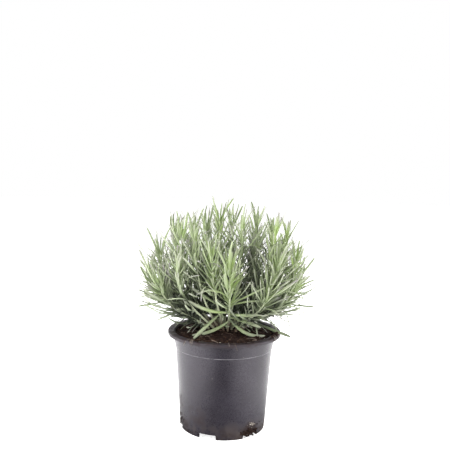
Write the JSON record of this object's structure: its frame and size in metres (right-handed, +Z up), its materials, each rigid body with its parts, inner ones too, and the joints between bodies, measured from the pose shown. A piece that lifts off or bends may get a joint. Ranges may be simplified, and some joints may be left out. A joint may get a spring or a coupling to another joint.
{
  "type": "potted munstead lavender",
  "caption": "Young lavender bush of narrow felted grey-green leaves in a round black nursery pot with a flanged lip.",
  "frame": {"origin": "middle of the pot's foot, on the surface it stands on", "axes": "+Z up along the pot's axis; -Y is the side the picture shows, +X is to its right"},
  "size_m": [0.2086, 0.161, 0.2668],
  "materials": {
    "pot_plastic": "thin black-grey moulded polypropylene, satin, with peat dust and scuffs",
    "peat": "dark red-brown moist peat, crumbly, with bark and root fibres",
    "lavender_leaf": "felted grey-green leaf, paler and yellower at the shoot tips, on pale square stems that turn woody at the foot"
  },
  "bodies": {
    "root": {"pot": "pot_plastic", "peat": "peat", "back_base": "lavender_leaf", "back_far_left": "lavender_leaf", "back_far_right": "lavender_leaf", "back_left": "lavender_leaf", "back_low_left": "lavender_leaf", "back_low_right": "lavender_leaf", "back_right": "lavender_leaf", "back_tall": "lavender_leaf", "back_wide": "lavender_leaf", "front_far_left": "lavender_leaf", "front_far_right": "lavender_leaf", "front_left": "lavender_leaf", "front_low_right": "lavender_leaf", "front_right": "lavender_leaf", "inner_left": "lavender_leaf", "inner_right": "lavender_leaf", "left_back": "lavender_leaf", "left_back_low": "lavender_leaf", "left_front_wide": "lavender_leaf", "left_low": "lavender_leaf", "left_mid": "lavender_leaf", "left_outer": "lavender_leaf", "left_tall": "lavender_leaf", "left_wide": "lavender_leaf", "middle_back": "lavender_leaf", "middle_front": "lavender_leaf", "middle_left": "lavender_leaf", "middle_right": "lavender_leaf", "right_back": "lavender_leaf", "right_back_low": "lavender_leaf", "right_far": "lavender_leaf", "right_front_wide": "lavender_leaf", "right_outer": "lavender_leaf", "right_tall": "lavender_leaf", "right_wide": "lavender_leaf"}
  },
  "joints": []
}
